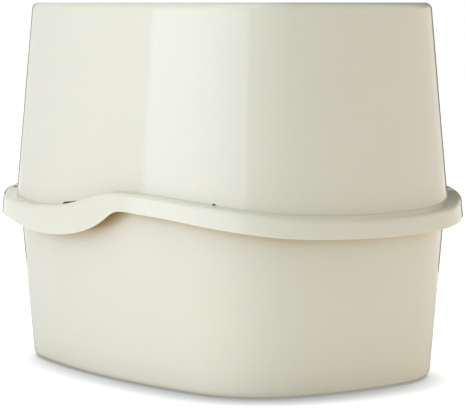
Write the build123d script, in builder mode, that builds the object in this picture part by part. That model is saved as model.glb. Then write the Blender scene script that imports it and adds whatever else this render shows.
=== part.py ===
"""Top entry litter box: a deep pan, a tall hood that drops into it, and a hinged lid with the way in.

Millimetres, +Z up, the floor at Z = 0 and the origin under the middle of the box.
Y is the long way: the entry hole is towards +Y (front), the lid's hinge towards -Y (rear).
Left is -X and right is +X. The box is the same on both sides of X = 0.
"""

import os
from math import atan2, degrees, radians, sqrt, tan

from build123d import *

# ---------------------------------------------------------------- driving dimensions
HEIGHT = 400.0  # floor to the top of the deck
FLOOR_WIDTH = 333.0  # the pan's plan at its foot, across
FLOOR_LENGTH = 470.0  # and along
CORNER_RADIUS = 100.0  # of that plan's corners
SIDE_RADIUS = 736.0  # bow of the two long sides
END_RADIUS = 356.0  # bow of the two short ends

WALL = 2.6  # moulded walls
PAN_TAPER = 4.75  # degrees that the pan's wall leans out
HOOD_TAPER = 5.2  # degrees that the hood's wall leans in
RIM_TAPER = 4.5  # degrees that the hanging skirt leans in
HOOD_SPREAD = 17.3  # how far the hood stands outside the foot's plan at half height
RIM_SPREAD = 36.0  # and how far the foot of the rim's skirt does

# ---------------------------------------------------------------- pan
SOLE = 1.0  # gap under the pan, which stands on its feet
FLOOR = 3.0
FOOT_FILLET = 7.0
SUMP_FILLET = 16.0  # inside, so that a scoop follows the floor
BELLY_INSET, BELLY_RISE = 44.0, 1.0  # shallow recess under the floor
LIP_RADIUS = 4.0  # rounded outer edge of the rim
SKIRT_WALL = 2.2
SLOT_RUN, SLOT_BREADTH = 12.0, 4.5  # drain slot across the ledge in each front corner

# The rim's two waves, each as (share of the rim's half length, share of the height), front to rear.
LEDGE_WAVE = (
    (1.06, 0.4905),
    (0.92, 0.4840),
    (0.80, 0.4745),
    (0.70, 0.4655),
    (0.57, 0.4565),
    (0.36, 0.4525),
    (0.19, 0.4595),
    (0.07, 0.4688),
    (-0.04, 0.4850),
    (-0.17, 0.5065),
    (-0.31, 0.5120),
    (-0.48, 0.5080),
    (-0.70, 0.4950),
    (-0.85, 0.4770),
    (-0.95, 0.4610),
    (-1.06, 0.4390),
)
SKIRT_WAVE = (
    (1.06, 0.4190),
    (0.80, 0.4125),
    (0.56, 0.4010),
    (0.42, 0.3870),
    (0.28, 0.3815),
    (0.07, 0.3870),
    (-0.04, 0.3985),
    (-0.15, 0.4215),
    (-0.20, 0.4390),
    (-0.245, 0.4570),
    (-0.285, 0.4640),
    (-0.36, 0.4635),
    (-0.56, 0.4560),
    (-0.74, 0.4405),
    (-0.89, 0.4220),
    (-0.97, 0.4105),
    (-1.06, 0.3980),
)

# ---------------------------------------------------------------- hood
SEAT_GAP = 0.3  # between the hood's edge and the ledge that it sits on
TONGUE_DEPTH = 12.0  # of the tongue that reaches down inside the pan
TONGUE_GAP = 0.4
TONGUE_WALL = 2.2
DECK = 3.0
TOP_FILLET = 7.0
LIFT_NOTCH = ((0.170, 0.4660), (0.068, 0.4745))  # roof of the notch in each long side, as shares like the waves
VENT_NOTCH = (-0.700, 0.5000)  # and of the small one near each rear corner
VENT_WIDTH = 3.0
NOTCH_CUT = 6.0

# ---------------------------------------------------------------- lid
BORDER = 24.0  # deck left around the lid
LID_DROP = 1.2  # the lid's face below the deck
LID_WALL = 2.8
LID_GAP = 1.2
LID_REAR_GAP = 2.4  # lets the rear edge swing up past the deck
SEAT_WIDTH = 8.6  # step in the deck that the lid lies on
FLANGE_DEPTH = 14.0  # stiffening flange under that step
LID_RIB_DEPTH, LID_RIB_WALL = 6.0, 2.2
ENTRY_RADIUS, ENTRY_FORWARD = 112.0, 62.0
COLLAR_DEPTH = 15.0  # of the sleeve round the entry hole
ENTRY_FILLET = 2.4
GRIP_FIRST, GRIP_PITCH, GRIP_RINGS = 8.0, 6.0, 3  # raised rings round the hole
GRIP_WIDTH, GRIP_RISE = 2.4, 0.8
FINGER_WIDTH, FINGER_DEPTH = 60.0, 18.0

# ---------------------------------------------------------------- lid hinge
HINGE_SET = 38.3  # from the deck's rear edge forward to the hinge's axis
BEAD_RADIUS = 4.5  # the lid's rear edge is a barrel on that axis
BEAD_HALF = 74.4
TROUGH_HALF = 75.0
TROUGH_REAR, TROUGH_FRONT = 6.2, 5.4  # clear space behind and in front of the axis
TROUGH_FLOOR = 5.0
EAR_WIDTH = 13.0
PIN_RADIUS = 2.0
PIN_PLAY = 0.06  # running fit in the lid's barrel
PIN_GRIP = 12.0  # how far a pin reaches into the barrel
PIN_HEAD_RADIUS, PIN_HEAD = 2.6, 1.4

# ---------------------------------------------------------------- grate
GRATE_LENGTH, GRATE_DEPTH, GRATE_CORNER = 184.0, 104.0, 30.0
GRATE_WALL = 2.6
GRATE_GAP = 0.4
GRATE_SEAT = 6.0
GRATE_REAR = 74.0  # from the hinge's axis forward to the middle of the grate
SLOT_LENGTH, SLOT_WIDTH = 27.0, 7.0
SLOT_PITCH_X, SLOT_PITCH_Y = 14.5, 31.0
SLOT_COLUMNS, SLOT_ROWS = 11, 3
FINGER_SLOT = (40.0, 20.0)

# ---------------------------------------------------------------- feet
FOOT_RADIUS, FOOT_HEIGHT = 11.0, 2.2
FOOT_REACH = 60.0  # from a corner's centre out to its foot

# ---------------------------------------------------------------- derived sizes
HALF_WIDTH, HALF_LENGTH = FLOOR_WIDTH / 2, FLOOR_LENGTH / 2
RIM_HALF = HALF_LENGTH + RIM_SPREAD
MIDDLE = HEIGHT / 2
BIG = 2 * FLOOR_LENGTH  # longer than anything it has to cut

# Centres of the plan's arcs: a corner arc touches a side arc and an end arc from inside.
side_centre = Vector(HALF_WIDTH - SIDE_RADIUS, 0)
end_centre = Vector(0, HALF_LENGTH - END_RADIUS)
span = (end_centre - side_centre).length
to_side, to_end = SIDE_RADIUS - CORNER_RADIUS, END_RADIUS - CORNER_RADIUS
along = (to_side**2 - to_end**2 + span**2) / (2 * span)
aside = sqrt(to_side**2 - along**2)
course = (end_centre - side_centre) / span
corner = side_centre + course * along + Vector(-course.Y, course.X) * aside
SIDE_TURN = degrees(atan2(corner.Y, corner.X - side_centre.X))
END_TURN = degrees(atan2(corner.X, corner.Y - end_centre.Y))
CORNER_TURN = 90 - SIDE_TURN - END_TURN


def outline(grow):
    """The box's plan, grown evenly by grow: eight arcs, each tangent to the next."""
    with BuildLine() as plan:
        for sign in (1, -1):
            CenterArc(
                (sign * side_centre.X, 0), SIDE_RADIUS + grow, 90 - 90 * sign - SIDE_TURN, 2 * SIDE_TURN
            )
            CenterArc((0, sign * end_centre.Y), END_RADIUS + grow, 90 * sign - END_TURN, 2 * END_TURN)
        for x, y, start in (
            (1, 1, SIDE_TURN),
            (-1, 1, 90 + END_TURN),
            (-1, -1, 180 + SIDE_TURN),
            (1, -1, 270 + END_TURN),
        ):
            CenterArc((x * corner.X, y * corner.Y), CORNER_RADIUS + grow, start, CORNER_TURN)
    return plan.line


def pan_grow(z):
    """How far the pan's outer wall stands outside the foot's plan at height z."""
    return (z - SOLE) * tan(radians(PAN_TAPER))


def hood_grow(z):
    """The same for the hood's outer wall."""
    return HOOD_SPREAD + (MIDDLE - z) * tan(radians(HOOD_TAPER))


def rim_grow(z):
    """The same for the skirt that hangs from the rim."""
    return RIM_SPREAD + (RIM_LOW - z) * tan(radians(RIM_TAPER))


def wave_points(wave, rise=0.0):
    """A wave's points in the YZ plane, raised by rise."""
    return [(y * RIM_HALF, z * HEIGHT + rise) for y, z in wave]


RIM_LOW = min(z for _, z in SKIRT_WAVE) * HEIGHT
RIM_HIGH = max(z for _, z in LEDGE_WAVE) * HEIGHT
SLOT_REACH = CORNER_RADIUS + (hood_grow(RIM_HIGH) + rim_grow(RIM_HIGH)) / 2  # halfway across the ledge
ABOVE_RIM = RIM_HIGH + 3 * TONGUE_DEPTH
BELOW_RIM = RIM_LOW - 3 * TONGUE_DEPTH

TOP_GROW = hood_grow(HEIGHT)
LID_FACE = HEIGHT - LID_DROP
LID_SEAT = LID_FACE - LID_WALL
HINGE_Y = -(HALF_LENGTH + TOP_GROW - HINGE_SET)
HINGE_Z = LID_FACE - BEAD_RADIUS
LID_REAR = HINGE_Y + TROUGH_FRONT + WALL  # the deck's opening starts here
EAR_END = TROUGH_HALF + EAR_WIDTH
LID_FRONT = HALF_LENGTH + TOP_GROW - BORDER - LID_GAP
GRATE_Y = HINGE_Y + GRATE_REAR
GRATE_SEAT_Z = LID_FACE - GRATE_WALL


# ---------------------------------------------------------------- the two waves, as solids to trim with
def under_wave(wave, rise=0.0):
    """Everything below a wave, as one solid right across the box."""
    with BuildPart() as block:
        with BuildSketch(Plane.YZ.offset(-BIG / 2)):
            with BuildLine():
                top = Spline(*wave_points(wave, rise))
                Polyline(top @ 1, ((top @ 1).X, -HEIGHT), ((top @ 0).X, -HEIGHT), top @ 0)
            make_face()
        extrude(amount=BIG)
    return block.part


# ---------------------------------------------------------------- base pan
# The rim: a ledge round the tub, rounded over into a skirt that hangs clear of the wall.
with BuildPart() as rim_hollow:
    with BuildSketch(Plane.XY.offset(BELOW_RIM)):
        make_face(outline(rim_grow(BELOW_RIM) - SKIRT_WALL))
    extrude(amount=ABOVE_RIM - BELOW_RIM, taper=RIM_TAPER)
    add(under_wave(LEDGE_WAVE, -WALL), mode=Mode.INTERSECT)

with BuildPart() as rim:
    with BuildSketch(Plane.XY.offset(BELOW_RIM)):
        make_face(outline(rim_grow(BELOW_RIM)))
    extrude(amount=ABOVE_RIM - BELOW_RIM, taper=RIM_TAPER)
    add(under_wave(LEDGE_WAVE), mode=Mode.INTERSECT)
    ledge = rim.faces().filter_by(GeomType.EXTRUSION).sort_by(SortBy.AREA)[-1]
    fillet(ledge.edges(), LIP_RADIUS)
    add(rim_hollow.part, mode=Mode.SUBTRACT)
    add(under_wave(SKIRT_WAVE), mode=Mode.SUBTRACT)

with BuildPart() as pan_room:
    with BuildSketch(Plane.XY.offset(SOLE + FLOOR)):
        make_face(outline(pan_grow(SOLE + FLOOR) - WALL))
    extrude(amount=ABOVE_RIM - SOLE - FLOOR, taper=-PAN_TAPER)
    fillet(pan_room.edges().group_by(Axis.Z)[0], SUMP_FILLET)

with BuildPart() as base_pan:
    with BuildSketch(Plane.XY.offset(SOLE)):
        make_face(outline(0))
    extrude(amount=ABOVE_RIM - SOLE, taper=-PAN_TAPER)
    fillet(base_pan.edges().group_by(Axis.Z)[0], FOOT_FILLET)
    add(under_wave(LEDGE_WAVE, -WALL / 2), mode=Mode.INTERSECT)
    add(rim.part)
    add(pan_room.part, mode=Mode.SUBTRACT)
    with BuildSketch(Plane.XY.offset(SOLE)):
        make_face(outline(-BELLY_INSET))
    extrude(amount=BELLY_RISE, mode=Mode.SUBTRACT)
    with BuildSketch(Plane.XY.offset(FOOT_HEIGHT)):
        for x in (-1, 1):
            for y in (-1, 1):
                with Locations(Location((x * corner.X, y * corner.Y), (0, 0, degrees(atan2(y, x))))):
                    with Locations((FOOT_REACH, 0)):
                        Circle(FOOT_RADIUS)
    extrude(amount=-FOOT_HEIGHT, mode=Mode.SUBTRACT)
    with BuildSketch(Plane.XY.offset(BELOW_RIM)):
        for x in (-1, 1):
            with Locations(Location((x * corner.X, corner.Y), (0, 0, 90 - 45 * x))):
                with Locations((SLOT_REACH, 0)):
                    SlotOverall(SLOT_RUN, SLOT_BREADTH, rotation=90)
    extrude(amount=ABOVE_RIM - BELOW_RIM, mode=Mode.SUBTRACT)
base_pan.part.label = "base_pan"

# ---------------------------------------------------------------- feet
feet = []
for side, x in (("left", -1), ("right", 1)):
    for end, y in (("rear", -1), ("front", 1)):
        reach = Vector(x, y).normalized() * FOOT_REACH
        with BuildPart() as foot:
            with BuildSketch():
                with Locations((x * corner.X + reach.X, y * corner.Y + reach.Y)):
                    Circle(FOOT_RADIUS)
            extrude(amount=FOOT_HEIGHT)
            fillet(foot.edges().group_by(Axis.Z)[0], SOLE / 2)
        foot.part.label = f"foot_{end}_{side}"
        feet.append(foot.part)

# ---------------------------------------------------------------- hood
# The tongue goes down inside the pan, so that what runs down the hood drips into the pan.
TONGUE_GROW = pan_grow(BELOW_RIM) - WALL - TONGUE_GAP

with BuildPart() as tongue:
    with BuildSketch(Plane.XY.offset(BELOW_RIM)):
        make_face(outline(TONGUE_GROW))
    extrude(amount=ABOVE_RIM - BELOW_RIM, taper=-PAN_TAPER)
    add(under_wave(LEDGE_WAVE, SEAT_GAP - TONGUE_DEPTH), mode=Mode.SUBTRACT)

with BuildPart() as tongue_room:
    with BuildSketch(Plane.XY.offset(BELOW_RIM)):
        make_face(outline(TONGUE_GROW - TONGUE_WALL))
    extrude(amount=ABOVE_RIM - BELOW_RIM, taper=-PAN_TAPER)

# The collar joins the tongue's top to the hood's wall.
with BuildPart() as collar:
    with BuildSketch(Plane.XY.offset(BELOW_RIM)):
        make_face(outline(hood_grow(BELOW_RIM) - WALL / 2))
    extrude(amount=ABOVE_RIM - BELOW_RIM, taper=HOOD_TAPER)
    add(under_wave(LEDGE_WAVE, SEAT_GAP), mode=Mode.SUBTRACT)
    add(tongue.part)
    add(under_wave(LEDGE_WAVE, SEAT_GAP + WALL), mode=Mode.INTERSECT)
    add(tongue_room.part, mode=Mode.SUBTRACT)

with BuildPart() as hood_room:
    with BuildSketch(Plane.XY.offset(BELOW_RIM)):
        make_face(outline(hood_grow(BELOW_RIM) - WALL))
    extrude(amount=HEIGHT - DECK - BELOW_RIM, taper=HOOD_TAPER)
    fillet(hood_room.edges().group_by(Axis.Z)[-1], TOP_FILLET - WALL)


def lid_plan(inset, rear):
    """The deck's plan drawn in by inset and cut off straight at rear, as a face."""
    with BuildSketch() as plan:
        make_face(outline(TOP_GROW - inset))
        with Locations((0, rear)):
            Rectangle(BIG, BIG, align=(Align.CENTER, Align.MIN), mode=Mode.INTERSECT)
    return plan.sketch


with BuildPart() as hood:
    with BuildSketch(Plane.XY.offset(BELOW_RIM)):
        make_face(outline(hood_grow(BELOW_RIM)))
    extrude(amount=HEIGHT - BELOW_RIM, taper=HOOD_TAPER)
    fillet(hood.edges().group_by(Axis.Z)[-1], TOP_FILLET)
    add(hood_room.part, mode=Mode.SUBTRACT)
    add(under_wave(LEDGE_WAVE, SEAT_GAP), mode=Mode.SUBTRACT)
    add(collar.part)

    # Step round the opening for the lid, with a flange hanging from its inner edge.
    with BuildSketch(Plane.XY.offset(LID_SEAT - WALL)):
        add(lid_plan(BORDER - WALL, LID_REAR - WALL))
    extrude(amount=HEIGHT - DECK / 2 - LID_SEAT + WALL)
    with BuildSketch(Plane.XY.offset(LID_SEAT - FLANGE_DEPTH)):
        add(lid_plan(BORDER + SEAT_WIDTH - WALL, LID_REAR - WALL))
    extrude(amount=FLANGE_DEPTH)
    with BuildSketch(Plane.XY.offset(LID_SEAT)):
        add(lid_plan(BORDER, LID_REAR))
    extrude(amount=HEIGHT, mode=Mode.SUBTRACT)
    with BuildSketch(Plane.XY.offset(LID_SEAT - FLANGE_DEPTH)):
        add(lid_plan(BORDER + SEAT_WIDTH, LID_REAR))
    extrude(amount=HEIGHT, mode=Mode.SUBTRACT)

    # Trough for the lid's barrel, closed at each end by an ear that carries a pin.
    trough_rear = HINGE_Y - TROUGH_REAR
    with BuildSketch(Plane.YZ.offset(-EAR_END)):
        with Locations((trough_rear - WALL, HINGE_Z - TROUGH_FLOOR - WALL)):
            Rectangle(
                LID_REAR - trough_rear + WALL,
                HEIGHT - DECK / 2 - HINGE_Z + TROUGH_FLOOR + WALL,
                align=Align.MIN,
            )
    extrude(amount=2 * EAR_END)
    with BuildSketch(Plane.YZ.offset(-TROUGH_HALF)):
        with Locations((trough_rear, HINGE_Z - TROUGH_FLOOR)):
            Rectangle(TROUGH_REAR + TROUGH_FRONT, HEIGHT, align=Align.MIN)
        with Locations((trough_rear, LID_SEAT)):
            Rectangle(LID_REAR - trough_rear, HEIGHT, align=Align.MIN)
    extrude(amount=2 * TROUGH_HALF, mode=Mode.SUBTRACT)
    with BuildSketch(Plane.YZ.offset(-EAR_END)):
        with Locations((HINGE_Y, HINGE_Z)):
            Circle(PIN_RADIUS)
    extrude(amount=2 * EAR_END, mode=Mode.SUBTRACT)

    # Notches in the lower edge: one to lift the hood by in each long side, and a vent near each rear corner.
    with BuildSketch(Plane.YZ.offset(-BIG / 2)):
        with BuildLine():
            roof = Line(*wave_points(LIFT_NOTCH))
            Polyline(roof @ 1, roof @ 1 - Vector(0, NOTCH_CUT), roof @ 0 - Vector(0, NOTCH_CUT), roof @ 0)
        make_face()
        with Locations(*wave_points([VENT_NOTCH])):
            Rectangle(VENT_WIDTH, NOTCH_CUT, align=(Align.CENTER, Align.MAX))
    extrude(amount=BIG, mode=Mode.SUBTRACT)
hood.part.label = "hood"

# ---------------------------------------------------------------- entry lid
with BuildPart() as entry_lid:
    with BuildSketch(Plane.XY.offset(LID_SEAT)):
        add(lid_plan(BORDER + LID_GAP, LID_REAR + LID_REAR_GAP))
        with Locations((0, HINGE_Y)):
            Rectangle(
                2 * BEAD_HALF,
                LID_REAR + LID_REAR_GAP - HINGE_Y + LID_WALL,
                align=(Align.CENTER, Align.MIN),
            )
    extrude(amount=LID_WALL)

    # Rib round the underside, just inside the opening.
    rib_inset, rib_rear = BORDER + SEAT_WIDTH + LID_GAP, LID_REAR + LID_REAR_GAP
    with BuildSketch(Plane.XY.offset(LID_SEAT)):
        add(lid_plan(rib_inset, rib_rear))
        add(lid_plan(rib_inset + LID_RIB_WALL, rib_rear + LID_RIB_WALL), mode=Mode.SUBTRACT)
    extrude(amount=-LID_RIB_DEPTH)

    # Barrel along the rear edge, bored at both ends for the pins.
    with BuildSketch(Plane.YZ.offset(-BEAD_HALF)):
        with Locations((HINGE_Y, HINGE_Z)):
            Circle(BEAD_RADIUS)
    extrude(amount=2 * BEAD_HALF)
    for side in (-1, 1):
        with BuildSketch(Plane.YZ.offset(side * BEAD_HALF)):
            with Locations((HINGE_Y, HINGE_Z)):
                Circle(PIN_RADIUS + PIN_PLAY)
        extrude(amount=-side * (PIN_GRIP + LID_GAP), mode=Mode.SUBTRACT)

    # Entry hole with its sleeve and the raised grip rings round it.
    with BuildSketch(Plane.XY.offset(LID_FACE - COLLAR_DEPTH)):
        with Locations((0, ENTRY_FORWARD)):
            Circle(ENTRY_RADIUS + LID_WALL)
    extrude(amount=COLLAR_DEPTH)
    with BuildSketch(Plane.XY.offset(LID_FACE - GRIP_RISE)):
        with Locations((0, ENTRY_FORWARD)):
            for ring in range(GRIP_RINGS):
                radius = ENTRY_RADIUS + GRIP_FIRST + ring * GRIP_PITCH
                Circle(radius + GRIP_WIDTH / 2)
                Circle(radius - GRIP_WIDTH / 2, mode=Mode.SUBTRACT)
    extrude(amount=2 * GRIP_RISE)
    with BuildSketch(Plane.XY):
        with Locations((0, ENTRY_FORWARD)):
            Circle(ENTRY_RADIUS)
    extrude(amount=HEIGHT, mode=Mode.SUBTRACT)
    mouth = entry_lid.edges().filter_by(GeomType.CIRCLE).filter_by(lambda e: e.radius == ENTRY_RADIUS)
    fillet(mouth.sort_by(Axis.Z)[-1], ENTRY_FILLET)

    # Pocket for the grate, open below but for a seat all round.
    with BuildSketch(Plane.XY.offset(GRATE_SEAT_Z)):
        with Locations((0, GRATE_Y)):
            RectangleRounded(
                GRATE_LENGTH + 2 * (GRATE_GAP + LID_WALL),
                GRATE_DEPTH + 2 * (GRATE_GAP + LID_WALL),
                GRATE_CORNER + GRATE_GAP + LID_WALL,
            )
    extrude(amount=-LID_WALL)
    with BuildSketch(Plane.XY.offset(GRATE_SEAT_Z)):
        with Locations((0, GRATE_Y)):
            RectangleRounded(GRATE_LENGTH + 2 * GRATE_GAP, GRATE_DEPTH + 2 * GRATE_GAP, GRATE_CORNER + GRATE_GAP)
    extrude(amount=GRATE_WALL, mode=Mode.SUBTRACT)
    with BuildSketch(Plane.XY.offset(GRATE_SEAT_Z)):
        with Locations((0, GRATE_Y)):
            RectangleRounded(
                GRATE_LENGTH - 2 * GRATE_SEAT, GRATE_DEPTH - 2 * GRATE_SEAT, GRATE_CORNER - GRATE_SEAT
            )
    extrude(amount=-LID_WALL, mode=Mode.SUBTRACT)

    # Finger notch in the front edge.
    with BuildSketch(Plane.XY):
        with Locations((0, LID_FRONT)):
            SlotOverall(FINGER_WIDTH, 2 * FINGER_DEPTH)
    extrude(amount=HEIGHT, mode=Mode.SUBTRACT)
entry_lid.part.label = "entry_lid"

# ---------------------------------------------------------------- paw grate
with BuildPart() as paw_grate:
    with BuildSketch(Plane.XY.offset(GRATE_SEAT_Z)):
        with Locations((0, GRATE_Y)):
            RectangleRounded(GRATE_LENGTH, GRATE_DEPTH, GRATE_CORNER)
            with GridLocations(SLOT_PITCH_X, SLOT_PITCH_Y, SLOT_COLUMNS, SLOT_ROWS) as slots:
                pass
        clear_of_finger = [
            place
            for place in slots.locations
            if abs(place.position.X) > FINGER_SLOT[0] / 2 or abs(place.position.Y - GRATE_Y) > SLOT_PITCH_Y / 2
        ]
        with Locations(*clear_of_finger):
            SlotOverall(SLOT_LENGTH, SLOT_WIDTH, rotation=90, mode=Mode.SUBTRACT)
        with Locations((0, GRATE_Y)):
            SlotOverall(*FINGER_SLOT, mode=Mode.SUBTRACT)
    extrude(amount=GRATE_WALL)
paw_grate.part.label = "paw_grate"

# ---------------------------------------------------------------- hinge pins
pins = []
for side, x in (("left", -1), ("right", 1)):
    with BuildPart() as pin:
        with BuildSketch(Plane.YZ.offset(x * (EAR_END + PIN_HEAD))):
            with Locations((HINGE_Y, HINGE_Z)):
                Circle(PIN_HEAD_RADIUS)
        extrude(amount=-x * PIN_HEAD)
        with BuildSketch(Plane.YZ.offset(x * EAR_END)):
            with Locations((HINGE_Y, HINGE_Z)):
                Circle(PIN_RADIUS)
        extrude(amount=-x * (EAR_END - BEAD_HALF + PIN_GRIP))
        chamfer(pin.edges().sort_by(Axis.X)[0 if x > 0 else -1], PIN_RADIUS / 4)
    pin.part.label = f"hinge_pin_{side}"
    pins.append(pin.part)

# ---------------------------------------------------------------- write the pieces
os.makedirs("parts", exist_ok=True)
for piece in (base_pan.part, *feet, hood.part, entry_lid.part, paw_grate.part, *pins):
    export_step(piece, f"parts/{piece.label}.step")
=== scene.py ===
"""Top entry litter box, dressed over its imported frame.

A deep pan and a tall hood, both moulded in ivory polypropylene; a hinged lid with the way in; a loose paw
grate; two hinge pins and four rubber feet. Metres, +Z up, the entry hole towards +Y.
"""

import math

import bmesh
import bpy
import numpy as np
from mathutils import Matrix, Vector


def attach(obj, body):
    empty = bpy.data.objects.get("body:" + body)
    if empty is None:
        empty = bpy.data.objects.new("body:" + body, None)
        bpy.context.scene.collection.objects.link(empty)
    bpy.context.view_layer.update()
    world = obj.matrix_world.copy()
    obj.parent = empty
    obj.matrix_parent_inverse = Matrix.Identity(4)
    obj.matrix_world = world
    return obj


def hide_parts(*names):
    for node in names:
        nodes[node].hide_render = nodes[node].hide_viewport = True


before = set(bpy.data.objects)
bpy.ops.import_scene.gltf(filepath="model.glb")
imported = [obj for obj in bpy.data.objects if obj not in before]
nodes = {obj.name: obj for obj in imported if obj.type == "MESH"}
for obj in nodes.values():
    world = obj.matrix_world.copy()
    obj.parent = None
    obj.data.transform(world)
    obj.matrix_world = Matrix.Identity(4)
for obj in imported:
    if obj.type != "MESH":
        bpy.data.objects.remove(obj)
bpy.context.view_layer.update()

# ---------------------------------------------------------------- base pan
# The base pan is a deep tub, injection moulded in ivory polypropylene. Its ledge rounds over into a skirt
# that hangs clear of the wall, rises and falls in one wave along the box, and serves as the hand hold.
MM = 0.001
FLOOR_WIDTH, FLOOR_LENGTH, HEIGHT = 333 * MM, 470 * MM, 400 * MM
CORNER_RADIUS, SIDE_RADIUS, END_RADIUS = 100 * MM, 736 * MM, 356 * MM
WALL = 2.6 * MM
SOLE, FLOOR_TOP = 1 * MM, 4 * MM
FOOT_FILLET, SUMP_FILLET = 7 * MM, 16 * MM
BELLY_INSET, BELLY_RISE = 44 * MM, 1 * MM
RIM_SPREAD, LIP_RADIUS, SKIRT_WALL = 36 * MM, 4 * MM, 2.2 * MM
HOOD_SPREAD = 17.3 * MM  # how far the hood's wall stands outside the foot's plan at half height
PAN_TAPER, RIM_TAPER, HOOD_TAPER = math.radians(4.75), math.radians(4.5), math.radians(5.2)
SLOT_RUN, SLOT_BREADTH, SLOT_TOP = 12 * MM, 4.5 * MM, HEIGHT / 2 + 10 * MM
CRISP = 0.6 * MM  # round on every moulded edge that has no larger one
HOLD, SNUG = 1.2 * MM, 0.3 * MM  # flat kept beside a round, on a broad face and on a thin edge
FLOOR_FLAT = 2 * MM  # the same beside the round inside the floor
COLUMN, HAIR = 3.4 * MM, 0.1 * MM  # spacing of the mesh round the box, and across a sharp step in it
MERGE = 0.01 * MM  # points closer than this are one
SHARP = math.radians(50)  # faces that meet at more than this keep a crisp edge
WAVE_PLACES = 4001  # places along a wave at which its curve is worked out
AGREED = 8  # rounds after which a wall's spread and its height agree

# The rim's two waves, front to rear: share of the rim's half length, share of the box's height.
LEDGE_WAVE = (
    (1.06, 0.4905), (0.92, 0.4840), (0.80, 0.4745), (0.70, 0.4655), (0.57, 0.4565), (0.36, 0.4525),
    (0.19, 0.4595), (0.07, 0.4688), (-0.04, 0.4850), (-0.17, 0.5065), (-0.31, 0.5120), (-0.48, 0.5080),
    (-0.70, 0.4950), (-0.85, 0.4770), (-0.95, 0.4610), (-1.06, 0.4390),
)
SKIRT_WAVE = (
    (1.06, 0.4190), (0.80, 0.4125), (0.56, 0.4010), (0.42, 0.3870), (0.28, 0.3815), (0.07, 0.3870),
    (-0.04, 0.3985), (-0.15, 0.4215), (-0.20, 0.4390), (-0.245, 0.4570), (-0.285, 0.4640), (-0.36, 0.4635),
    (-0.56, 0.4560), (-0.74, 0.4405), (-0.89, 0.4220), (-0.97, 0.4105), (-1.06, 0.3980),
)
RIM_LOW = min(share for _, share in SKIRT_WAVE) * HEIGHT
LEDGE_TOP = max(share for _, share in LEDGE_WAVE) * HEIGHT


def round_plan(place):
    """Points and outward normals at distances round the box: eight arcs, each tangent to the next.

    A corner's centre lies where circles about a side's and an end's centre cross, each as much smaller than
    its arc as the corner's radius.
    """
    side_x, end_y = FLOOR_WIDTH / 2 - SIDE_RADIUS, FLOOR_LENGTH / 2 - END_RADIUS
    span = math.hypot(side_x, end_y)
    along = ((SIDE_RADIUS - CORNER_RADIUS) ** 2 - (END_RADIUS - CORNER_RADIUS) ** 2 + span**2) / (2 * span)
    aside = math.sqrt((SIDE_RADIUS - CORNER_RADIUS) ** 2 - along**2)
    corner_x = side_x + (-side_x * along - end_y * aside) / span
    corner_y = (end_y * along - side_x * aside) / span
    side_turn, end_turn = math.atan2(corner_y, corner_x - side_x), math.atan2(corner_x, corner_y - end_y)
    corner_turn = math.pi / 2 - side_turn - end_turn
    centres = np.array([(side_x, 0), (corner_x, corner_y), (0, end_y), (-corner_x, corner_y)])
    centres = np.vstack([centres, -centres])
    radii = np.tile([SIDE_RADIUS, CORNER_RADIUS, END_RADIUS, CORNER_RADIUS], 2)
    turns = np.tile([2 * side_turn, corner_turn, 2 * end_turn, corner_turn], 2)
    finish = np.cumsum(turns) - side_turn
    reach = np.cumsum(radii * turns)
    arc = np.searchsorted(reach, place % reach[-1], side="right")
    angle = finish[arc] - (reach[arc] - place % reach[-1]) / radii[arc]
    normal = np.column_stack([np.cos(angle), np.sin(angle)])
    return centres[arc] + radii[arc][:, None] * normal, normal, reach[-1]


def wave(shares):
    """A wave's height over Y: the cubic spline through its points, timed by the length of its chords.

    Its second derivatives come from the usual three-term equations, and its end slopes are those of the
    cubic through the four end points.
    """
    points = np.array(shares) * (FLOOR_LENGTH / 2 + RIM_SPREAD, HEIGHT)
    time = np.concatenate([[0], np.cumsum(np.hypot(*np.diff(points, axis=0).T))])
    first = np.polyfit(time[:4], points[:4], 3)[-2]
    last = np.polyfit(time[-4:] - time[-1], points[-4:], 3)[-2]
    slope = np.vstack([first, np.diff(points, axis=0) / np.diff(time)[:, None], last])
    step = np.concatenate([[0], np.diff(time), [0]])
    terms = np.diag(2 * (step[:-1] + step[1:])) + np.diag(step[1:-1], 1) + np.diag(step[1:-1], -1)
    bend = np.linalg.solve(terms, 6 * np.diff(slope, axis=0))
    fine = np.linspace(0, time[-1], WAVE_PLACES)
    part = np.clip(np.searchsorted(time, fine, side="right") - 1, 0, len(time) - 2)
    gap = np.diff(time)[part][:, None]
    after = (fine - time[part])[:, None] / gap
    before = 1 - after
    line = points[part] * before + points[part + 1] * after
    line += (bend[part] * (before**3 - before) + bend[part + 1] * (after**3 - after)) * gap**2 / 6
    line = line[np.argsort(line[:, 0])]
    return lambda y: np.interp(y, line[:, 0], line[:, 1])


ledge, skirt = wave(LEDGE_WAVE), wave(SKIRT_WAVE)


def flat(height):
    """A level plane, as a wave that doesn't move."""
    return lambda y: np.full_like(y, height)


def pan_side(z):
    """How far the pan's outer wall stands outside the foot's plan at height z."""
    return (z - SOLE) * math.tan(PAN_TAPER)


def rim_side(z):
    """The same for the skirt."""
    return RIM_SPREAD - (z - RIM_LOW) * math.tan(RIM_TAPER)


def hood_side(z):
    """The same for the hood's outer wall."""
    return HOOD_SPREAD - (z - HEIGHT / 2) * math.tan(HOOD_TAPER)


def steps_in(coordinate, limit):
    """Pairs of places a hair apart where a coordinate, taken at every hair round the box, passes a limit."""
    beyond = coordinate > limit
    before = np.flatnonzero(beyond != np.roll(beyond, -1))
    return np.concatenate([before, before + 1]) * HAIR


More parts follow.
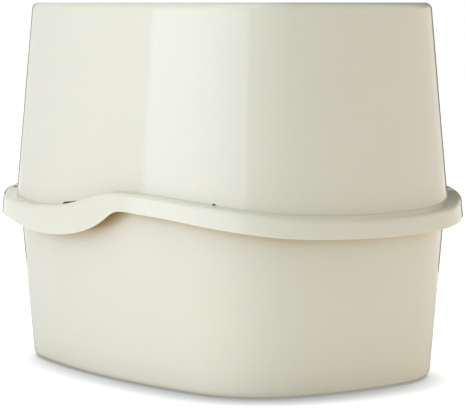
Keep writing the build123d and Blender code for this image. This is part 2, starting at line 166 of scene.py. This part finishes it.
# The columns of the mesh: even round the box, with close pairs where the hood's edge and deck have steps.
LIFT_NOTCH = (46.07 * MM, 186.4 * MM), (18.43 * MM, 189.8 * MM)  # its roof, front to rear, as (Y, height)
VENT_NOTCH, VENT_HALF = (-189.7 * MM, 199.4 * MM), 1.5 * MM  # its roof's middle, and half its width
BORDER, SEAT_WIDTH = 24 * MM, 8.6 * MM  # the deck left round the lid, and the step that the lid lies on
TROUGH_HALF, EAR_END = 75 * MM, 88 * MM  # half lengths of the hinge's trough, without and with its ears
around = round_plan(np.zeros(1))[2]
hairs, hair_normals, _ = round_plan(np.arange(0, around, HAIR))
edge_y = (hairs + hair_normals * hood_side(HEIGHT / 2))[:, 1]
deck_x = np.abs((hairs + hair_normals * (hood_side(HEIGHT) - BORDER))[:, 0]) + (hairs[:, 1] > 0)
places = np.concatenate([
    np.arange(int(around / COLUMN)) * around / int(around / COLUMN),
    *(steps_in(edge_y, y) for y, _ in LIFT_NOTCH),
    *(steps_in(edge_y, VENT_NOTCH[0] + side * VENT_HALF) for side in (-1, 1)),
    *(steps_in(deck_x, x) for x in (TROUGH_HALF, EAR_END)),
])
PLAN, NORMAL, _ = round_plan(np.unique(places))


def ring(level, side, inset=0.0, rise=0.0):
    """Points round the box where a wall, drawn in by inset, meets a wave raised by rise.

    The wall's spread depends on the height and the height on where the wall stands, so they are worked out
    in turn until they agree.
    """
    across = PLAN
    for _ in range(AGREED):
        height = level(across[:, 1]) + rise
        across = PLAN + NORMAL * (side(height) - inset)[:, None]
    return np.column_stack([across, height])


def rounded(level, side, inset, rise, radius, start, stop, steps, hold=HOLD):
    """Rings over a rounded edge: a circle about (inset, rise) from angle start to stop, 0 outwards, 90 up.

    A ring more at each end, hold further along the tangent, keeps the flat beside it shaded flat.
    """
    angle = np.radians(np.linspace(start, stop, steps))
    insets, rises = inset - radius * np.cos(angle), rise + radius * np.sin(angle)
    way = math.copysign(hold, stop - start)
    insets = np.concatenate([
        [insets[0] - way * math.sin(angle[0])], insets, [insets[-1] + way * math.sin(angle[-1])],
    ])
    rises = np.concatenate([
        [rises[0] - way * math.cos(angle[0])], rises, [rises[-1] + way * math.cos(angle[-1])],
    ])
    return [ring(level, side, i, r) for i, r in zip(insets, rises)]


def to_middle(edge):
    """Rings that close a flat face from its edge to the middle: the same outline, smaller and smaller."""
    return [edge * (share, share, 1) for share in (0.98, 0.7, 0.35, 0)]


def shell(name, rings, closed):
    """A mesh with four-sided faces from each ring of points to the next, without an opening.

    closed joins the last ring to the first; otherwise both end rings are a single point.
    """
    grid = np.stack(rings)
    index = np.arange(grid.shape[0] * grid.shape[1]).reshape(grid.shape[:2])
    after = np.roll(index, -1, 0) if closed else index[1:]
    before = index if closed else index[:-1]
    faces = np.stack([before, np.roll(before, -1, 1), np.roll(after, -1, 1), after], axis=-1).reshape(-1, 4)
    mesh = bpy.data.meshes.new(name)
    mesh.from_pydata(grid.reshape(-1, 3), [], faces)
    work = bmesh.new()
    work.from_mesh(mesh)
    bmesh.ops.remove_doubles(work, verts=work.verts, dist=MERGE)
    bmesh.ops.recalc_face_normals(work, faces=work.faces)
    work.to_mesh(mesh)
    work.free()
    mesh.shade_smooth()
    mesh.set_sharp_from_angle(angle=SHARP)
    piece = bpy.data.objects.new(name, mesh)
    bpy.context.scene.collection.objects.link(piece)
    return piece


pan = shell("tub_and_rim", [
    *to_middle(ring(flat(SOLE + BELLY_RISE), pan_side, BELLY_INSET))[::-1],
    *rounded(flat(SOLE), pan_side, BELLY_INSET - CRISP, CRISP, CRISP, 180, 270, 3, SNUG),
    *rounded(flat(SOLE), pan_side, FOOT_FILLET, FOOT_FILLET, FOOT_FILLET, -90, 0, 9),
    *rounded(ledge, pan_side, -CRISP, -WALL - CRISP, CRISP, 180, 90, 3),
    *rounded(ledge, rim_side, SKIRT_WALL + CRISP, -WALL - CRISP, CRISP, 90, 0, 3),
    *rounded(skirt, rim_side, SKIRT_WALL - CRISP, CRISP, CRISP, 180, 270, 4, SNUG),
    *rounded(skirt, rim_side, CRISP, CRISP, CRISP, -90, 0, 4, SNUG),
    *rounded(ledge, rim_side, LIP_RADIUS, -LIP_RADIUS, LIP_RADIUS, 0, 90, 9),
    *rounded(ledge, pan_side, WALL - CRISP, -CRISP, CRISP, 90, 180, 4),
    *rounded(flat(FLOOR_TOP), pan_side, WALL + SUMP_FILLET, SUMP_FILLET, SUMP_FILLET, 0, -90, 12),
    *to_middle(ring(flat(FLOOR_TOP), pan_side, WALL + SUMP_FILLET + FLOOR_FLAT)),
], closed=False)


def stadium(centre, along, run, breadth, low, high):
    """A closed prism with round ends: run long along a level direction, breadth wide, from low to high."""
    half = np.radians(np.linspace(-90, 90, 13))
    angle = np.concatenate([half, half + np.pi])
    count = len(angle)
    slide = np.repeat([1, -1], len(half)) * (run - breadth) / 2
    ahead, aside = slide + breadth / 2 * np.cos(angle), breadth / 2 * np.sin(angle)
    across = np.array(centre) + ahead[:, None] * along + aside[:, None] * np.array([-along[1], along[0]])
    rings = [np.column_stack([across, np.full(count, height)]) for height in (low, high)]
    first = np.arange(count)
    after = np.roll(first, -1)
    walls = np.column_stack([first, after, after + count, first + count])
    mesh = bpy.data.meshes.new("cutter")
    mesh.from_pydata(np.concatenate(rings), [], [tuple(first[::-1]), tuple(first + count), *walls])
    piece = bpy.data.objects.new("cutter", mesh)
    bpy.context.scene.collection.objects.link(piece)
    return piece


def cut_away(piece, cutter):
    """Takes a cutter's volume out of a piece, and the cutter off the scene."""
    cut = piece.modifiers.new("cut", "BOOLEAN")
    cut.object, cut.operation, cut.solver = cutter, "DIFFERENCE", "EXACT"
    shape = bpy.data.meshes.new_from_object(piece.evaluated_get(bpy.context.evaluated_depsgraph_get()))
    piece.modifiers.clear()
    piece.data = shape
    shape.set_sharp_from_angle(angle=SHARP)
    bpy.data.objects.remove(cutter)


# A drain slot lets spilt water off the ledge at each front corner, across the corner's diagonal.
facing = np.arctan2(NORMAL[:, 1], NORMAL[:, 0])
mid_ledge = (hood_side(LEDGE_TOP) + rim_side(LEDGE_TOP)) / 2
for diagonal in np.radians([45, 135]):
    column = np.abs(facing - diagonal).argmin()
    spot = PLAN[column] + NORMAL[column] * mid_ledge
    along = np.array([-math.sin(diagonal), math.cos(diagonal)])
    cut_away(pan, stadium(spot, along, SLOT_RUN, SLOT_BREADTH, RIM_LOW, SLOT_TOP))


def linear(colour):
    """An sRGB hex colour as linear RGBA."""
    value = np.array([int(colour[i:i + 2], 16) for i in (1, 3, 5)]) / 255
    return (*np.where(value <= 0.04045, value / 12.92, ((value + 0.055) / 1.055) ** 2.4), 1.0)


def add(tree, kind, values=None, wires=None, **settings):
    """Adds a node with its settings, the values of its inputs, and the outputs wired to them."""
    node = tree.nodes.new(kind)
    for name, value in settings.items():
        setattr(node, name, value)
    for socket, value in (values or {}).items():
        node.inputs[socket].default_value = value
    for socket, output in (wires or {}).items():
        tree.links.new(output, node.inputs[socket])
    return node


DRIFT, WEAR = 80 * MM, 20 * MM  # size of the patches in tone and in roughness
WANDER = 0.1  # share by which the roughness changes
# Painted shade in a piece's folds: how far it reaches, where it is full and where it is gone, and its colour.
FOLD_SHADE_REACH = 45 * MM  # how far away a facing wall still deepens the colour
FOLD_SHADE_FULL, FOLD_SHADE_NONE = 0.25, 0.85  # shares of open air at which that is full, and gone
PAINTED_FOLD_SHADE = "#C8A25A"  # light that has been from wall to wall in a fold comes out warmer and weaker


def moulded(name, pale, deep, roughness, finish, grain, shader):
    """The surface of a plastic or rubber that is coloured all through, as moulded or turned.

    Its tone drifts between two close colours, as pigment does in the melt, and a painted shade makes it
    darker and warmer in the piece's own folds, where light from wall to wall would come out weaker; its
    roughness wanders a little. A grain raises it by microns at most, grain wide and finish high in metres,
    and an orange peel ten times as wide and three times as high. shader holds the other values.
    """
    material = bpy.data.materials.new(name)
    material.use_nodes = True
    tree = material.node_tree
    tree.nodes.clear()
    at = {"Vector": add(tree, "ShaderNodeTexCoord").outputs["Object"]}
    drift = add(tree, "ShaderNodeTexNoise", {"Scale": 1 / DRIFT, "Detail": 3.0}, at)
    tone = add(
        tree, "ShaderNodeMix", {6: linear(pale), 7: linear(deep)}, {0: drift.outputs["Fac"]},
        data_type="RGBA",
    )
    wear = add(tree, "ShaderNodeTexNoise", {"Scale": 1 / WEAR, "Detail": 4.0}, at)
    rough = add(
        tree, "ShaderNodeMapRange", {"To Min": (1 - WANDER) * roughness, "To Max": (1 + WANDER) * roughness},
        {"Value": wear.outputs["Fac"]},
    )
    fine = add(tree, "ShaderNodeTexNoise", {"Scale": 1 / grain, "Detail": 2.0}, at)
    slow = add(tree, "ShaderNodeTexNoise", {"Scale": 0.1 / grain, "Detail": 1.0}, at)
    low = add(tree, "ShaderNodeBump", {"Distance": finish}, {"Height": fine.outputs["Fac"]})
    high = add(
        tree, "ShaderNodeBump", {"Distance": 3 * finish},
        {"Height": slow.outputs["Fac"], "Normal": low.outputs["Normal"]},
    )
    # Painted shade: the colour is made darker and warmer where the piece's own walls face it close by.
    open_air = add(tree, "ShaderNodeAmbientOcclusion", {"Distance": FOLD_SHADE_REACH}, samples=6, only_local=True)
    fold_shade_share = add(
        tree, "ShaderNodeMapRange",
        {"From Min": FOLD_SHADE_FULL, "From Max": FOLD_SHADE_NONE, "To Min": 1.0, "To Max": 0.0},
        {"Value": open_air.outputs["AO"]}, interpolation_type="SMOOTHSTEP",
    )
    tone = add(
        tree, "ShaderNodeMix", {7: linear(PAINTED_FOLD_SHADE)}, {0: fold_shade_share.outputs["Result"], 6: tone.outputs[2]},
        data_type="RGBA", blend_type="MULTIPLY",
    )
    body = add(
        tree, "ShaderNodeBsdfPrincipled", shader,
        {
            "Base Color": tone.outputs[2], "Roughness": rough.outputs["Result"],
            "Normal": high.outputs["Normal"],
        },
    )
    add(tree, "ShaderNodeOutputMaterial", wires={"Surface": body.outputs["BSDF"]})
    return material


# Polypropylene from a polished mould: satin gloss, ivory all through, and a little light goes in and comes
# out again beside it, which softens small edges.
ivory = moulded(
    "polypropylene_ivory_moulded", pale="#E9E5CD", deep="#E6E2C9",
    roughness=0.065, finish=0.0006 * MM, grain=0.6 * MM,
    shader={
        "IOR": 1.49, "Subsurface Weight": 0.2, "Subsurface Radius": (1.0, 0.7, 0.4),
        "Subsurface Scale": 2.5 * MM,
    },
)
pan.data.materials.append(ivory)
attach(pan, "base")
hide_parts("base_pan")

# ---------------------------------------------------------------- feet
# The feet are four moulded discs of soft grey rubber, pressed into sockets under the tub's floor. They hold
# it a millimetre off the ground and keep it from sliding.


def dress(name, material):
    """Gives a piece that shows as its CAD shape its one material."""
    slots = nodes[name].data.materials
    slots.clear()
    slots.append(material)


# Soft rubber: a dull mid grey with a fine grain and hardly any shine.
rubber = moulded(
    "rubber_foot_moulded", pale="#8F8C84", deep="#86837B",
    roughness=0.62, finish=0.01 * MM, grain=0.5 * MM, shader={"IOR": 1.52},
)
for end in ("front", "rear"):
    for side in ("left", "right"):
        dress(f"foot_{end}_{side}", rubber)

# ---------------------------------------------------------------- hood
# The hood is one moulding in the same ivory polypropylene: a leaning wall whose lower edge follows the
# ledge, a deck with a step for the lid, and a tongue that reaches down inside the tub.
SEAT_GAP = -0.05 * MM  # the edge rests in the ledge's skin, so no light comes through the joint
TONGUE_DEPTH, TONGUE_GAP, TONGUE_WALL = 12 * MM, 0.4 * MM, 2.2 * MM
FOOT_EDGE = 0.25 * MM
DECK, TOP_FILLET = 3 * MM, 7 * MM
LID_DROP, LID_WALL, FLANGE_DEPTH = 1.2 * MM, 2.8 * MM, 14 * MM
HINGE_SET, BARREL = 38.3 * MM, 4.5 * MM  # the hinge's axis from the deck's rear edge; the barrel's radius
TROUGH_BACK, TROUGH_AHEAD, TROUGH_DEPTH = 6.2 * MM, 5.4 * MM, 5 * MM  # room round that axis
LID_FACE = HEIGHT - LID_DROP
LID_SEAT = LID_FACE - LID_WALL
FLANGE_FOOT = LID_SEAT - FLANGE_DEPTH
HINGE_Y, HINGE_Z = -(FLOOR_LENGTH / 2 + hood_side(HEIGHT) - HINGE_SET), LID_FACE - BARREL
TROUGH_REAR, TROUGH_FRONT = HINGE_Y - TROUGH_BACK, HINGE_Y + TROUGH_AHEAD
TROUGH_FLOOR = HINGE_Z - TROUGH_DEPTH
LID_REAR = TROUGH_FRONT + WALL


def tongue_side(z):
    """How far the tongue's outer face stands outside the foot's plan at height z."""
    return pan_side(z) - WALL - TONGUE_GAP


edge_y = (PLAN + NORMAL * hood_side(HEIGHT / 2))[:, 1]
(lift_front, roof_front), (lift_rear, roof_rear) = LIFT_NOTCH
in_lift = (edge_y > lift_rear) & (edge_y <= lift_front)
in_vent = np.abs(edge_y - VENT_NOTCH[0]) < VENT_HALF


def hood_foot(y):
    """The height of the hood's lower edge: that of the ledge, or of the roof of a notch."""
    roof = np.interp(y, [lift_rear, lift_front], [roof_rear, roof_front])
    return np.where(in_lift, roof, np.where(in_vent, VENT_NOTCH[1], ledge(y) + SEAT_GAP))


def shelf(y):
    """The height of the inner step from the hood's wall to its tongue."""
    return hood_foot(y) + WALL


def tongue_foot(y):
    """The height of the tongue's lower edge."""
    return ledge(y) + SEAT_GAP - TONGUE_DEPTH


def deck_ring(inset, height, rear):
    """Points round the deck's plan, drawn in by inset and cut off straight at rear; one height per column."""
    across = PLAN + NORMAL * (hood_side(HEIGHT) - inset)
    return np.column_stack([across[:, 0], np.maximum(across[:, 1], rear), np.broadcast_to(height, len(PLAN))])


deck_x = np.abs((PLAN + NORMAL * (hood_side(HEIGHT) - BORDER))[:, 0]) + (PLAN[:, 1] > 0)
in_trough, in_block = deck_x <= TROUGH_HALF, deck_x <= EAR_END
back = np.where(in_trough, TROUGH_REAR, LID_REAR)
bottom = np.where(in_trough, TROUGH_FLOOR, LID_SEAT)
front = np.where(in_trough, TROUGH_FRONT, LID_REAR)
under = np.where(in_block, TROUGH_FLOOR - WALL, LID_SEAT - WALL)
under_back = np.where(in_block, TROUGH_REAR - WALL, LID_REAR - WALL)
quarter = np.radians([0, 22.5, 45, 67.5, 90])
hood = shell("hood_wall_and_deck", [
    *rounded(hood_foot, hood_side, FOOT_EDGE, FOOT_EDGE, FOOT_EDGE, -90, 0, 4, 2 * FOOT_EDGE),
    *rounded(flat(HEIGHT), hood_side, TOP_FILLET, -TOP_FILLET, TOP_FILLET, 0, 90, 11),
    deck_ring(BORDER - 3 * CRISP, HEIGHT, back - 3 * CRISP),
    *(
        deck_ring(BORDER - CRISP * (1 - s), HEIGHT - CRISP * (1 - c), back - CRISP * (1 - s))
        for s, c in zip(np.sin(quarter), np.cos(quarter))
    ),
    deck_ring(BORDER, HEIGHT - 2 * CRISP, back),
    deck_ring(BORDER, bottom + CRISP, back),
    deck_ring(BORDER, bottom, back),
    deck_ring(BORDER, bottom, front),
    deck_ring(BORDER, LID_SEAT, front),
    deck_ring(BORDER, LID_SEAT, LID_REAR),
    deck_ring(BORDER + CRISP, LID_SEAT, LID_REAR),
    deck_ring(BORDER + SEAT_WIDTH - 2 * CRISP, LID_SEAT, LID_REAR),
    *(
        deck_ring(BORDER + SEAT_WIDTH - CRISP * (1 - s), LID_SEAT - CRISP * (1 - c), LID_REAR)
        for s, c in zip(np.sin(quarter), np.cos(quarter))
    ),
    deck_ring(BORDER + SEAT_WIDTH, LID_SEAT - 2 * CRISP, LID_REAR),
    deck_ring(BORDER + SEAT_WIDTH, FLANGE_FOOT + CRISP, LID_REAR),
    deck_ring(BORDER + SEAT_WIDTH, FLANGE_FOOT, LID_REAR),
    deck_ring(BORDER + SEAT_WIDTH - WALL, FLANGE_FOOT, LID_REAR - WALL),
    deck_ring(BORDER + SEAT_WIDTH - WALL, FLANGE_FOOT + CRISP, LID_REAR - WALL),
    deck_ring(BORDER + SEAT_WIDTH - WALL, under - CRISP, LID_REAR - WALL),
    deck_ring(BORDER + SEAT_WIDTH - WALL, under, LID_REAR - WALL),
    deck_ring(BORDER - WALL, under, under_back),
    deck_ring(BORDER - WALL, under + CRISP, under_back),
    deck_ring(BORDER - WALL, HEIGHT - DECK - CRISP, under_back),
    deck_ring(BORDER - WALL, HEIGHT - DECK, under_back),
    deck_ring(BORDER - WALL - CRISP, HEIGHT - DECK, under_back - CRISP),
    *rounded(flat(HEIGHT - DECK), hood_side, TOP_FILLET, WALL - TOP_FILLET, TOP_FILLET - WALL, 90, 0, 7),
    *rounded(shelf, hood_side, WALL + CRISP, CRISP, CRISP, 0, -90, 3),
    *rounded(shelf, tongue_side, TONGUE_WALL - CRISP, -CRISP, CRISP, 90, 180, 3, SNUG),
    *rounded(tongue_foot, tongue_side, TONGUE_WALL - CRISP, CRISP, CRISP, 180, 270, 3, SNUG),
    *rounded(tongue_foot, tongue_side, CRISP, CRISP, CRISP, -90, 0, 3, SNUG),
    *rounded(hood_foot, tongue_side, -CRISP, -CRISP, CRISP, 180, 90, 3, SNUG),
], closed=True)
hood.data.materials.append(ivory)
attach(hood, "hood")
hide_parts("hood")

# ---------------------------------------------------------------- hinge pins
# The hinge pins are two short turned rods of acetal on the lid's axis. Each is pushed in through the ear at
# one end of the hood's trough, and the lid's barrel turns on it.

# Acetal: a cool, dense white with a soft shine.
acetal = moulded(
    "acetal_pin_turned", pale="#F1F0EA", deep="#EEEDE6",
    roughness=0.3, finish=0.002 * MM, grain=0.3 * MM, shader={"IOR": 1.48},
)
for side in ("left", "right"):
    dress(f"hinge_pin_{side}", acetal)

# ---------------------------------------------------------------- entry lid
# The lid is a flat moulding in the hood's ivory polypropylene, with the round way in, its sleeve and grip
# rings, and a pocket for the grate. A barrel along its rear edge turns on the pins.
dress("entry_lid", ivory)

# ---------------------------------------------------------------- paw grate
# The grate is a slotted plate of ivory polypropylene that wipes litter off the paws. It is moulded flat,
# and lies loose in the lid's pocket behind the hole.

# Polypropylene from an etched mould: the same ivory, but matt and a little greyer under the light.
matte = moulded(
    "polypropylene_ivory_matte", pale="#EAE7D8", deep="#E6E3D3",
    roughness=0.42, finish=0.008 * MM, grain=0.5 * MM,
    shader={
        "IOR": 1.49, "Subsurface Weight": 0.12, "Subsurface Radius": (1.0, 0.85, 0.6),
        "Subsurface Scale": 2 * MM,
    },
)
dress("paw_grate", matte)

# ---------------------------------------------------------------- floor
# The studio floor: plain, pale and matt, with nothing on it but the box's shadow. Like a lit table it glows
# for the camera and for mirrors, in mirrors more with the distance, and it sheds a soft light upwards. That
# shadow is painted: the floor's colour and glow are made darker where the box stands close over it.
FLOOR_HALF = 6.0
NEAR, FAR, NEAR_GLOW = 0.30, 1.60, 0.2  # in mirrors it glows from NEAR_GLOW at NEAR to white at FAR
TABLE = 0.42  # strength of the light that it sheds upwards
SHADOW_REACH, SHADOW_LEFT = 85 * MM, 0.25  # how far the shadow reaches, and what it leaves of the white
SHADOW_FULL, SHADOW_NONE = 0.33, 0.93  # shares of open air at which the shadow is full, and gone
# Open air is looked for about this direction, as under a lamp there, so the painted shadow falls to the
# rear left.
SHADOW_LEAN = (0.452, 0.620, 0.643)

# Seamless background paper: white, and quite without shine.
paper = bpy.data.materials.new("floor_paper")
paper.use_nodes = True
tree = paper.node_tree
tree.nodes.clear()
at = add(tree, "ShaderNodeTexCoord").outputs["Object"]
away = add(tree, "ShaderNodeVectorMath", wires={0: at}, operation="LENGTH")
lean = add(tree, "ShaderNodeCombineXYZ", dict(zip("XYZ", SHADOW_LEAN)))
# Painted shadow: less open air above a point darkens the paper's colour and its glow.
open_air = add(
    tree, "ShaderNodeAmbientOcclusion", {"Distance": SHADOW_REACH}, {"Normal": lean.outputs["Vector"]},
    samples=16,
)
clear = add(
    tree, "ShaderNodeMapRange",
    {"From Min": SHADOW_FULL, "From Max": SHADOW_NONE, "To Min": SHADOW_LEFT, "To Max": 1.0},
    {"Value": open_air.outputs["AO"]},
).outputs["Result"]
glow = add(
    tree, "ShaderNodeMapRange", {"From Min": NEAR, "From Max": FAR, "To Min": NEAR_GLOW, "To Max": 1.0},
    {"Value": away.outputs["Value"]},
).outputs["Result"]
rays = add(tree, "ShaderNodeLightPath").outputs
mirrored = add(tree, "ShaderNodeMath", wires={0: rays["Is Glossy Ray"], 1: glow}, operation="MULTIPLY")
seen = add(
    tree, "ShaderNodeMath", wires={0: rays["Is Camera Ray"], 1: mirrored.outputs[0]}, operation="MAXIMUM",
)
seen = add(tree, "ShaderNodeMath", wires={0: seen.outputs[0], 1: clear}, operation="MULTIPLY")
shed = add(tree, "ShaderNodeMath", {1: TABLE}, {0: rays["Is Diffuse Ray"]}, operation="MULTIPLY")
strength = add(tree, "ShaderNodeMath", wires={0: seen.outputs[0], 1: shed.outputs[0]}, operation="MAXIMUM")
shade = add(
    tree, "ShaderNodeMix", {6: linear("#000000"), 7: linear("#F4F4F2")}, {0: clear}, data_type="RGBA",
)
sheet = add(tree, "ShaderNodeBsdfDiffuse", wires={"Color": shade.outputs[2]})
lit = add(tree, "ShaderNodeEmission", {"Color": (1, 1, 1, 1)}, {"Strength": strength.outputs[0]})
both = add(tree, "ShaderNodeAddShader", wires={0: sheet.outputs["BSDF"], 1: lit.outputs["Emission"]})
add(tree, "ShaderNodeOutputMaterial", wires={"Surface": both.outputs["Shader"]})
paper.cycles.emission_sampling = "NONE"

floor_mesh = bpy.data.meshes.new("studio_floor")
floor_corners = [(FLOOR_HALF * x, FLOOR_HALF * y, 0) for x, y in ((-1, -1), (1, -1), (1, 1), (-1, 1))]
floor_mesh.from_pydata(floor_corners, [], [(0, 1, 2, 3)])
floor = bpy.data.objects.new("studio_floor", floor_mesh)
bpy.context.scene.collection.objects.link(floor)
floor.data.materials.append(paper)

# ---------------------------------------------------------------- light
# With the entry hole ahead: a large softbox at the left, another high at the rear left, and at the rear
# right a warm fill that the gloss doesn't see. Dark cards at the front right, which only the gloss sees,
# draw the walls' outlines. An even pale surround lights the rest.
SURROUND = 0.2  # its strength as a light; what is seen of it, straight or mirrored, is white
world = bpy.data.worlds.new("surround")
bpy.context.scene.world = world
world.use_nodes = True
tree = world.node_tree
tree.nodes.clear()
rays = add(tree, "ShaderNodeLightPath").outputs
seen = add(
    tree, "ShaderNodeMath", wires={0: rays["Is Camera Ray"], 1: rays["Is Glossy Ray"]}, operation="MAXIMUM",
)
seen = add(
    tree, "ShaderNodeMath", wires={0: seen.outputs[0], 1: rays["Is Transmission Ray"]}, operation="MAXIMUM",
)
strength = add(tree, "ShaderNodeMapRange", {"To Min": SURROUND, "To Max": 1.0}, {"Value": seen.outputs[0]})
sky = add(tree, "ShaderNodeBackground", {"Color": (1, 1, 1, 1)}, {"Strength": strength.outputs["Result"]})
add(tree, "ShaderNodeOutputWorld", wires={"Surface": sky.outputs["Background"]})


def softbox(name, azimuth, elevation, distance, width, height, power, colour):
    """A rectangular lamp that looks at the middle of the box.

    Its azimuth, east of +Y, and its elevation are in degrees, and its distance in metres.
    """
    lamp = bpy.data.lights.new(name, "AREA")
    lamp.shape, lamp.size, lamp.size_y, lamp.energy = "RECTANGLE", width, height, power
    lamp.color = linear(colour)[:3]
    light = bpy.data.objects.new(name, lamp)
    bpy.context.scene.collection.objects.link(light)
    a, e = math.radians(azimuth), math.radians(elevation)
    out = Vector((math.sin(a) * math.cos(e), math.cos(a) * math.cos(e), math.sin(e)))
    light.location = Vector((0, 0, HEIGHT / 2)) + out * distance
    light.rotation_euler = out.to_track_quat("Z", "Y").to_euler()
    return light


softbox(
    "softbox_left", azimuth=-93.5, elevation=10, distance=1.52, width=2.48, height=1.3,
    power=15.4, colour="#E0E3FF",
)
softbox(
    "softbox_above", azimuth=-115, elevation=62, distance=2.0, width=1.6, height=1.6,
    power=15.5, colour="#E9F8FF",
)
fill = softbox(
    "fill_right", azimuth=120, elevation=0, distance=2.2, width=1.8, height=0.4,
    power=14.8, colour="#FFE8E7",
)
fill.visible_glossy = False


def flag(name, corners, shade):
    """A dark card through four corners that only the box's gloss sees."""
    mesh = bpy.data.meshes.new(name)
    mesh.from_pydata(corners, [], [(0, 1, 2, 3)])
    card = bpy.data.objects.new(name, mesh)
    bpy.context.scene.collection.objects.link(card)
    cloth = bpy.data.materials.new(name)
    cloth.use_nodes = True
    cloth.node_tree.nodes.clear()
    tone = add(cloth.node_tree, "ShaderNodeEmission", {"Color": linear(shade)})
    add(cloth.node_tree, "ShaderNodeOutputMaterial", wires={"Surface": tone.outputs["Emission"]})
    cloth.cycles.emission_sampling = "NONE"
    card.data.materials.append(cloth)
    card.visible_camera = card.visible_diffuse = card.visible_shadow = card.visible_transmission = False


def edge(azimuths, distance, height):
    """The ends of a card's level edge: two azimuths east of +Y, a distance from the middle and a height."""
    turns = [math.radians(azimuth) for azimuth in azimuths]
    return [(distance * math.sin(turn), distance * math.cos(turn), height) for turn in turns]


# The left and right cards lean away from just above the floor, close to the box, up to where the third
# card's foot is; that one stands upright behind them.
CARD_FOOT, CARD_TOP, CARD_BACK = 0.005, 0.8, 2.3
left_foot, right_foot = edge((3.3, 15.9), 0.95, CARD_FOOT), edge((59.3, 77.4), 0.83, CARD_FOOT)
flag("flag_left", left_foot + edge((24.5, 10), CARD_BACK, CARD_TOP), "#707070")
flag("flag_right", right_foot + edge((67, 47.3), CARD_BACK, CARD_TOP), "#202020")
flag("flag_behind", edge((40, 100), CARD_BACK, CARD_TOP) + edge((100, 40), CARD_BACK, 4.5), "#404040")

# ---------------------------------------------------------------- camera
# Far off with a long lens, level with the box's top, where its rear left corner is nearest.
LENS, SENSOR = 176.4, 36.0  # millimetres
STAND = (-1.4844, -2.0328, 0.4006)
EAST, NORTH, DIP = 0.5921, 0.8059, 0.0887  # the level direction of sight, and the angle that it dips by
lens = bpy.data.cameras.new("camera")
lens.lens, lens.sensor_width = LENS, SENSOR
camera = bpy.data.objects.new("camera", lens)
bpy.context.scene.collection.objects.link(camera)
camera.location = STAND
sight = Vector((EAST * math.cos(DIP), NORTH * math.cos(DIP), -math.sin(DIP)))
camera.rotation_euler = sight.to_track_quat("-Z", "Y").to_euler()
bpy.context.scene.camera = camera
bpy.context.scene.view_settings.view_transform = "Standard"
